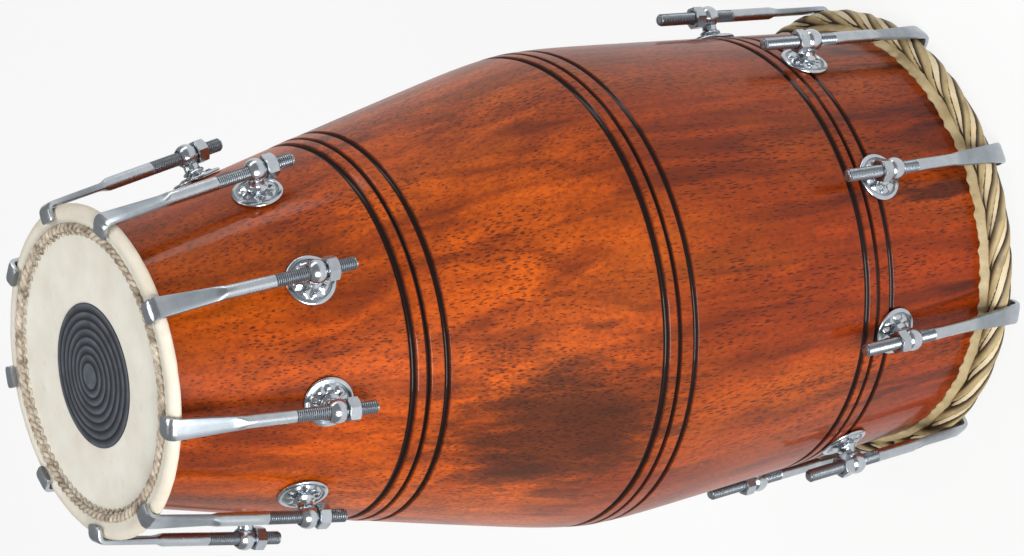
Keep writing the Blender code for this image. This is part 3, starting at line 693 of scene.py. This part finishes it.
def tan_hide():
    """Thick hide dried in folds: tan ridges with painted golden highlights, painted black-brown shade in the
    folds, and a pale skirt.
    """
    material, tree, shader = new_material("pleated_tan_hide", Roughness=0.55)
    tag = tag_of(tree)
    clouds = noise(tree, repeated(tree, 70), detail=5.0)
    # painted shade and highlight: near black in the gaps, tan on the pleats' bodies, golden highlights on
    # their crests
    ridge = ramp(tree, tag, [(0.0, "#0B0806"), (0.30, "#20180F"), (0.55, "#5E4E34"), (0.72, "#8C7A54"),
                             (0.90, "#A8946A"), (1.0, "#B8A578")])
    ridge = mixed(tree, ramp(tree, clouds, [(0.48, 0.0), (0.72, 0.65)]), ridge, "#4A3A26")
    pale = mixed(tree, ramp(tree, clouds, [(0.35, 0.0), (0.75, 1.0)]), "#BCAA82", "#927C54")
    skirt = calculated(tree, "MULTIPLY_ADD", tag, 2.2, -2.6, clamp=True)
    base = mixed(tree, skirt, ridge, pale)
    flat = calculated(tree, "GREATER_THAN", tag, 2.5)
    face = mixed(tree, ramp(tree, clouds, [(0.3, 0.0), (0.8, 1.0)]), "#D8C9A8", "#BFA57A")
    base = mixed(tree, flat, base, face)
    tree.links.new(base, shader.inputs["Base Color"])
    grain = noise(tree, repeated(tree, 600), detail=4.0)
    crease = noise(tree, repeated(tree, 140, 60), detail=4.0)
    bumped(tree, shader, calculated(tree, "MULTIPLY_ADD", crease, 2.0, grain), 0.00025, 0.8)
    return material


add_piece("pleated_bass_hide", [bass_skin_sheet()], tan_hide(), "drum", ["bass_skin"])

# Iron rings
# Plain round bar, bent and forge-welded, hidden inside the laps of both skins. They keep their
# CAD shape and get a scaled dark iron.


def iron_material():
    """Forged bar with dark scale and a little rust."""
    material, tree, shader = new_material("forged_iron_bar", Metallic=1.0, Roughness=0.6)
    rust = noise(tree, repeated(tree, 90), detail=5.0)
    tree.links.new(ramp(tree, rust, [(0.4, "#55504B"), (0.7, "#6E3F24")]), shader.inputs["Base Color"])
    scale = noise(tree, repeated(tree, 500), detail=3.0)
    bumped(tree, shader, scale, 0.0002, 0.6)
    return material


iron = iron_material()
for node_name in ("treble_ring", "bass_ring"):
    ring_node = frame["nodes"][node_name]
    ring_node.data.materials.clear()
    ring_node.data.materials.append(iron)

# Hooks
# Eight-millimetre mild steel rod, threaded at one end and forged at the other into a widening
# blade that is bent over the ring. Plated, and rubbed dull on the flats.
HOOKS_PER_HEAD = 9
ROD_RADIUS = 0.0040
THREAD_PITCH = 0.00125
THREAD_DEPTH = 0.00075
THREAD_STEPS = 5
EYE_HALF_THICKNESS = 0.0052
NUT_THICKNESS = 0.0070
NUT_GAP = 0.0003
TAILS = {"treble": 0.0245, "bass": 0.0386}
THREAD_ENDS = {"treble": 0.0248, "bass": 0.0180}
BLADE_LENGTH = 0.0440
BLADE_ROOT_HALF_THICKNESS = 0.0022
BLADE_ROWS = 18
CLAW_THICKNESS = 0.0036
CLAW_WIDTH = 0.0130
CLAW_REACH = 0.0110
CLAW_BEND = 0.0036
HOOK_SIDES = 20
JOINTS = {joint["name"]: joint for joint in frame["joints"]}


def hook_frame(end, number):
    """The eye's middle and three directions at a hook: away from the drum, across, and to the claw."""
    joint = JOINTS[end + "_nut_" + number + "_turn"]
    nut = np.array(joint["pos_m"])
    ahead = -np.array(joint["axis"])
    ahead /= np.linalg.norm(ahead)
    outward = nut * np.array([1.0, 1.0, 0.0])
    outward -= ahead * (outward @ ahead)
    outward /= np.linalg.norm(outward)
    eye = nut + ahead * (EYE_HALF_THICKNESS + NUT_GAP + NUT_THICKNESS / 2)
    return eye, np.stack([outward, np.cross(ahead, outward), ahead])


def rounded_section(half_width, half_thickness, power, sides):
    """A superellipse: |x/a|^n + |y/b|^n = 1, round at n = 2 and close to a bar at n = 6."""
    turn = np.linspace(0, 2 * np.pi, sides, endpoint=False)
    c = np.cos(turn)
    s = np.sin(turn)
    reach = (np.abs(c) ** power + np.abs(s) ** power) ** (-1.0 / power)
    return np.stack([reach * s * half_thickness, reach * c * half_width], -1)


def section_at(spot, out, shape):
    """Points of a section at a spot (away, along), with its thickness laid along out."""
    return np.stack([spot[0] + out[0] * shape[:, 0], shape[:, 1], spot[1] + out[1] * shape[:, 0]], -1)


def thread_cut(length):
    """Depth of the thread: a triangle wave of the height plus the turn, so that it winds as a helix."""
    winding = np.linspace(0, 1, HOOK_SIDES, endpoint=False)[None, :]
    wave = np.mod(length[:, None] / THREAD_PITCH - winding, 1.0)
    return THREAD_DEPTH * (1 - np.abs(2 * wave - 1) * 1.15).clip(0, 1)


def hook_sheet(end, number):
    """A hook as sections along its middle line: threaded rod, plain rod, blade, bend and claw.

    tag is near 1 where the plating is bright, near 0 on the dull flats and below 0 in the
    thread's roots.
    """
    eye, axes = hook_frame(end, number)
    up = 1.0 if end == "treble" else -1.0
    claw_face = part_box(end + "_hook_" + number)[1 if up > 0 else 0].z
    corner = (claw_face - up * CLAW_THICKNESS / 2 - eye[2]) / axes[2][2]
    bearing = math.atan2(eye[1], eye[0])
    inwards = np.array([-math.cos(bearing), -math.sin(bearing), 0.0])
    arm = np.array([inwards @ axes[0], inwards @ axes[2]])
    turn = math.acos(max(-1.0, min(1.0, arm[1])))
    tangent = CLAW_BEND * math.tan(turn / 2)
    threaded = np.arange(-TAILS[end], THREAD_ENDS[end], THREAD_PITCH / THREAD_STEPS)
    plain = np.linspace(THREAD_ENDS[end] + 0.0006, corner - BLADE_LENGTH, 5)
    blade = np.linspace(corner - BLADE_LENGTH + 0.0015, corner - tangent, BLADE_ROWS)
    length = np.concatenate([threaded, plain, blade])
    share = np.clip((length - (corner - BLADE_LENGTH)) / (BLADE_LENGTH - tangent), 0, 1)
    soft = np.clip(share / 0.14, 0, 1)
    soft = soft * soft * (3 - 2 * soft)
    half_width = ROD_RADIUS + (CLAW_WIDTH / 2 - ROD_RADIUS) * share ** 1.1
    half_thick = (ROD_RADIUS + (BLADE_ROOT_HALF_THICKNESS - ROD_RADIUS) * soft
                  - (BLADE_ROOT_HALF_THICKNESS - CLAW_THICKNESS / 2) * share)
    power = 2.0 + 3.2 * soft
    rows = [section_at((0.0, place), (1.0, 0.0), rounded_section(wide, thick, exponent, HOOK_SIDES))
            for place, wide, thick, exponent in zip(length, half_width, half_thick, power)]
    flat = rounded_section(CLAW_WIDTH / 2, CLAW_THICKNESS / 2, power[-1], HOOK_SIDES)
    centre = np.array([-CLAW_BEND, corner - tangent])
    bends = np.linspace(0, turn, 9)[1:]
    for bend in bends:
        out = np.array([math.cos(bend), math.sin(bend)])
        rows.append(section_at(centre + CLAW_BEND * out, out, flat))
    tip = np.linspace(0, CLAW_REACH - CLAW_THICKNESS / 2 - tangent, 7)[1:]
    narrow = 1 - 0.10 * np.linspace(0, 1, len(tip)) ** 2
    narrow[-1] -= 0.05
    for step, scale in zip(tip, narrow):
        rows.append(section_at(centre + CLAW_BEND * out + arm * step, out, flat * scale))
    local = np.array(rows)
    count = len(threaded)
    cut = thread_cut(threaded)
    chamfer = np.clip((threaded + TAILS[end]) / 0.0012, 0, 1)[:, None]
    radius = (ROD_RADIUS - cut) * (0.72 + 0.28 * chamfer)
    local[:count, :, :2] *= (radius / ROD_RADIUS)[..., None]
    blade_bright = np.clip(0.9 - 4.0 * share[-BLADE_ROWS:], 0.05, 1)
    blade_bright[-6:] = np.linspace(0.05, 0.8, 6)
    bright = np.concatenate([np.full(count, 0.85), np.full(len(plain), 0.8), blade_bright,
                             np.full(len(bends), 0.9), np.linspace(0.8, 0.5, len(tip))])
    tag = np.repeat(bright[:, None], HOOK_SIDES, 1)
    # the thread's roots are darkened, deepest where the cut is deepest
    tag[:count] -= 1.9 * cut / THREAD_DEPTH
    return sheet_of(eye + local @ axes, tag=tag)


def steel_material():
    """Plated mild steel: bright where it is rubbed, a duller oxide grey on the flats, lightly scratched."""
    material, tree, shader = new_material("plated_mild_steel", Metallic=1.0, Roughness=0.3)
    tag = tag_of(tree)
    clouds = noise(tree, repeated(tree, 160), detail=4.0)
    dull = mixed(tree, clouds, "#A9B0B6", "#868E95")
    bright = mixed(tree, clouds, "#CDD2D7", "#A4ABB2")
    polish = calculated(tree, "MULTIPLY", tag, 1.0, clamp=True)
    # darkening in the thread's roots, towards blue-grey
    root_darkening = calculated(tree, "MULTIPLY", tag, -1.0, clamp=True)
    plated = mixed(tree, polish, dull, bright)
    tree.links.new(mixed(tree, root_darkening, plated, "#39424E"), shader.inputs["Base Color"])
    rough = calculated(tree, "MULTIPLY_ADD", polish, -0.28, 0.44)
    rough = calculated(tree, "ADD", rough, calculated(tree, "MULTIPLY", clouds, 0.10))
    tree.links.new(rough, shader.inputs["Roughness"])
    scratches = noise(tree, repeated(tree, 900, 240), detail=3.0)
    bumped(tree, shader, scratches, 0.00006, 0.6)
    return material


steel = steel_material()
for end_name in ("treble", "bass"):
    for hook_number in range(1, HOOKS_PER_HEAD + 1):
        label = str(hook_number)
        add_piece(end_name + "_tension_hook_" + label, [hook_sheet(end_name, label)], steel,
                  end_name + "_hook_" + label, [end_name + "_hook_" + label])

# Nuts
# Hexagon nuts for eight-millimetre thread, thirteen across the flats, chamfered at both ends.
NUT_ACROSS_FLATS = 0.0130
NUT_COLUMNS = 72
NUT_CHAMFER = 0.0014
BORE_RADIUS = ROD_RADIUS + 0.0003
BORE_CHAMFER = 0.0004


def nut_sheet(end, number):
    """A hexagon that a cone of thirty degrees cuts at both ends, round a plain bore."""
    eye, axes = hook_frame(end, number)
    turn = np.linspace(0, 2 * np.pi, NUT_COLUMNS, endpoint=False)
    flat = np.mod(turn + np.pi / 6, np.pi / 3) - np.pi / 6
    hexagon = NUT_ACROSS_FLATS / 2 / np.cos(flat)
    half = NUT_THICKNESS / 2
    levels = np.concatenate([[half], half - np.linspace(0.0002, NUT_CHAMFER, 7)])
    rows = []
    for level in np.concatenate([levels, -levels[::-1]]):
        cone = NUT_ACROSS_FLATS / 2 * 0.99 + (half - abs(level)) / math.tan(math.radians(30))
        rows.append((np.minimum(hexagon, cone), level))
    for radius, level in ((BORE_RADIUS + BORE_CHAMFER, -half), (BORE_RADIUS, -half + 0.0005),
                          (BORE_RADIUS, half - 0.0005), (BORE_RADIUS + BORE_CHAMFER, half)):
        rows.append((np.full(NUT_COLUMNS, radius), level))
    local = np.array([np.stack([radius * np.cos(turn), radius * np.sin(turn), np.full_like(turn, level)], -1)
                      for radius, level in rows])
    middle = eye - axes[2] * (EYE_HALF_THICKNESS + NUT_GAP + half)
    return sheet_of(middle + local @ axes, loop=True, tag=np.full(len(rows), 0.75))


for end_name in ("treble", "bass"):
    for nut_number in range(1, HOOKS_PER_HEAD + 1):
        label = str(nut_number)
        add_piece(end_name + "_hexagon_nut_" + label, [nut_sheet(end_name, label)], steel,
                  end_name + "_nut_" + label, [end_name + "_nut_" + label])

# Lugs
# A forged eye bolt through the shell, with a pressed flower-shaped rosette under its collar, and
# a washer and nut inside. Polished and nickel plated.
LUG_FROM_MOUTH = {"treble": 0.0943, "bass": 0.0867}
EYE_STANDOFF = 0.0155
EYE_RADIUS = 0.0072
ROSETTE_RADIUS = 0.0150
ROSETTE_PETALS = 8
ROSETTE_COLUMNS = 96
# share of the radius, height on the petals' ridges, height between them
ROSETTE_RINGS = (
    (0.30, 0.0034, 0.0034), (0.42, 0.0032, 0.0030), (0.52, 0.0034, 0.0022), (0.62, 0.0034, 0.0016),
    (0.71, 0.0026, 0.0013), (0.76, 0.0013, 0.0012), (0.80, 0.0012, 0.0012), (0.84, 0.0020, 0.0020),
    (0.95, 0.0019, 0.0019), (0.99, 0.0014, 0.0014), (1.00, 0.0008, 0.0008), (0.99, 0.0003, 0.0003),
    (0.30, 0.0003, 0.0003))
POST_RADIUS = 0.0046
# the collar under the post, radius and height above the wood
COLLAR = ((0.0050, 0.0064), (0.0062, 0.0058), (0.0066, 0.0050), (0.0062, 0.0042), (0.0054, 0.0038),
          (0.0054, 0.0012))
SHANK_RADIUS = 0.0038
WASHER_RADIUS = 0.0090
WASHER_THICKNESS = 0.0016
INNER_NUT_RADIUS = 0.0072
INNER_NUT_THICKNESS = 0.0060
# the CAD shell's bore has facets, and the washer is seated inside them
SHELL_FACET_DROP = 0.0005


def wall_frame(end, number):
    """The eye's middle and three directions at a lug: away from the wood, across, and along the wall."""
    eye, axes = hook_frame(end, number)
    height = SHELL_HIGH - LUG_FROM_MOUTH[end] if end == "treble" else SHELL_LOW + LUG_FROM_MOUTH[end]
    slope = float(shell_radius(height + 0.0005) - shell_radius(height - 0.0005)) / 0.001
    angle = math.atan2(eye[1], eye[0])
    radial = np.array([math.cos(angle), math.sin(angle), 0.0])
    normal = radial - np.array([0.0, 0.0, slope])
    normal /= np.linalg.norm(normal)
    across = np.array([-math.sin(angle), math.cos(angle), 0.0])
    return eye, np.stack([across, np.cross(normal, across), normal]), height


def eye_sheet(end, number):
    """A ball cut flat at both ends and bored through, turned round the rod's axis."""
    eye, axes = hook_frame(end, number)
    edge = math.asin(EYE_HALF_THICKNESS / EYE_RADIUS)
    profile = [(BORE_RADIUS, EYE_HALF_THICKNESS - 0.0005), (BORE_RADIUS + 0.0005, EYE_HALF_THICKNESS)]
    profile += [(EYE_RADIUS * math.cos(angle), EYE_RADIUS * math.sin(angle))
                for angle in np.linspace(edge, -edge, 11)]
    profile += [(BORE_RADIUS + 0.0005, -EYE_HALF_THICKNESS), (BORE_RADIUS, -EYE_HALF_THICKNESS + 0.0005)]
    return sheet_of(turned(profile, 40) @ axes + eye, loop=True, tag=np.full(len(profile), 1.0))


def rosette_rows():
    """A pressed disc whose height swings between ridge and hollow with the cosine of the petals' turn."""
    turn = np.linspace(0, 2 * np.pi, ROSETTE_COLUMNS, endpoint=False)
    petal = np.abs(np.cos(ROSETTE_PETALS / 2 * turn)) ** 0.8
    rows = [np.stack([ROSETTE_RADIUS * share * np.cos(turn), ROSETTE_RADIUS * share * np.sin(turn),
                      hollow + (ridge - hollow) * petal], -1) for share, ridge, hollow in ROSETTE_RINGS]
    tag = [0.25 if 0.75 < share < 0.82 else 1.0 for share, ridge, hollow in ROSETTE_RINGS]
    return np.array(rows), tag


def lug_sheets(end, number):
    """The eye, its collared post, the rosette on the wood, and the shank with its washer and nut."""
    eye, axes, height = wall_frame(end, number)
    wood = eye - axes[2] * EYE_STANDOFF
    post = [(POST_RADIUS, EYE_STANDOFF - 0.0058), (POST_RADIUS, 0.0072), *COLLAR]
    petals, petal_tag = rosette_rows()
    wall = wall_thickness(height)
    inner = float(shell_radius(height)) - wall
    hollow = SHELL_FACET_DROP + WASHER_RADIUS ** 2 / (2 * inner) + 0.0003
    seat = -(wall * float(np.hypot(*axes[2][:2])) + hollow)
    under = seat - WASHER_THICKNESS
    shank = [(SHANK_RADIUS, 0.0004), (SHANK_RADIUS, seat), (WASHER_RADIUS, seat), (WASHER_RADIUS, under),
             (INNER_NUT_RADIUS, under), (INNER_NUT_RADIUS, under - INNER_NUT_THICKNESS + 0.0004),
             (INNER_NUT_RADIUS - 0.0006, under - INNER_NUT_THICKNESS)]
    return [eye_sheet(end, number),
            sheet_of(turned(post, 36) @ axes + wood, tag=np.full(len(post), 1.0)),
            sheet_of(petals @ axes + wood, tag=petal_tag),
            sheet_of(turned(shank, 24) @ axes + wood, tag=np.full(len(shank), 0.6))]


for end_name in ("treble", "bass"):
    for lug_number in range(1, HOOKS_PER_HEAD + 1):
        label = str(lug_number)
        add_piece(end_name + "_eye_lug_" + label, lug_sheets(end_name, label), steel,
                  "drum", [end_name + "_lug_" + label])

# Floor and light
# A plain pale floor, a soft dome and three soft boxes. The camera sees the floor as near white,
# and keeps a little of the shadow.


def floor_material():
    """Pale matte paint, lifted to near white for what sees it straight, in gloss or through glass."""
    material, tree, shader = new_material("pale_floor_paint", Roughness=0.9)
    shader.inputs["Base Color"].default_value = linear("#E4E4E2")
    rays = add_node(tree, "ShaderNodeLightPath")
    seen = calculated(tree, "MAXIMUM", rays.outputs["Is Camera Ray"], rays.outputs["Is Transmission Ray"])
    seen = calculated(tree, "MAXIMUM", seen, rays.outputs["Is Glossy Ray"])
    glow = add_node(tree, "ShaderNodeEmission", links={"Color": (1.0, 1.0, 1.0, 1.0), "Strength": 1.0})
    share = calculated(tree, "MULTIPLY", seen, 0.86)
    both = add_node(tree, "ShaderNodeMixShader", links={
        0: share, 1: shader.outputs["BSDF"], 2: glow.outputs[0]})
    tree.links.new(both.outputs[0], tree.nodes["Material Output"].inputs["Surface"])
    return material


def add_floor():
    """A wide square just under the claws."""
    mesh = bpy.data.meshes.new("floor")
    half = 6.0
    mesh.from_pydata([(-half, -half, -0.0005), (half, -half, -0.0005), (half, half, -0.0005),
                      (-half, half, -0.0005)], [], [(0, 1, 2, 3)])
    mesh.materials.append(floor_material())
    floor = bpy.data.objects.new("floor", mesh)
    bpy.context.scene.collection.objects.link(floor)


def add_softbox(name, place, target, size, power):
    """A rectangular area light at a place, aimed at a target."""
    light = bpy.data.lights.new(name, "AREA")
    light.shape = "RECTANGLE"
    light.size, light.size_y = size
    light.energy = power
    lamp = bpy.data.objects.new(name, light)
    bpy.context.scene.collection.objects.link(lamp)
    lamp.location = place
    lamp.rotation_euler = (Vector(target) - Vector(place)).to_track_quat("-Z", "Y").to_euler()


def add_dome(level):
    """An even pale world."""
    world = bpy.data.worlds.new("dome")
    world.use_nodes = True
    world.node_tree.nodes["Background"].inputs["Color"].default_value = (1.0, 1.0, 1.0, 1.0)
    world.node_tree.nodes["Background"].inputs["Strength"].default_value = level
    bpy.context.scene.world = world


add_floor()
add_dome(0.30)
add_softbox("key", (-1.0, -1.9, 1.1), (0.0, 0.0, 0.3), (1.2, 1.2), 60.0)
add_softbox("edge", (1.9, -0.2, 0.9), (0.0, 0.0, 0.3), (0.5, 1.8), 11.0)
add_softbox("top", (0.3, 0.3, 2.4), (0.0, 0.0, 0.5), (1.2, 1.2), 18.0)
bpy.context.scene.view_settings.view_transform = "Standard"
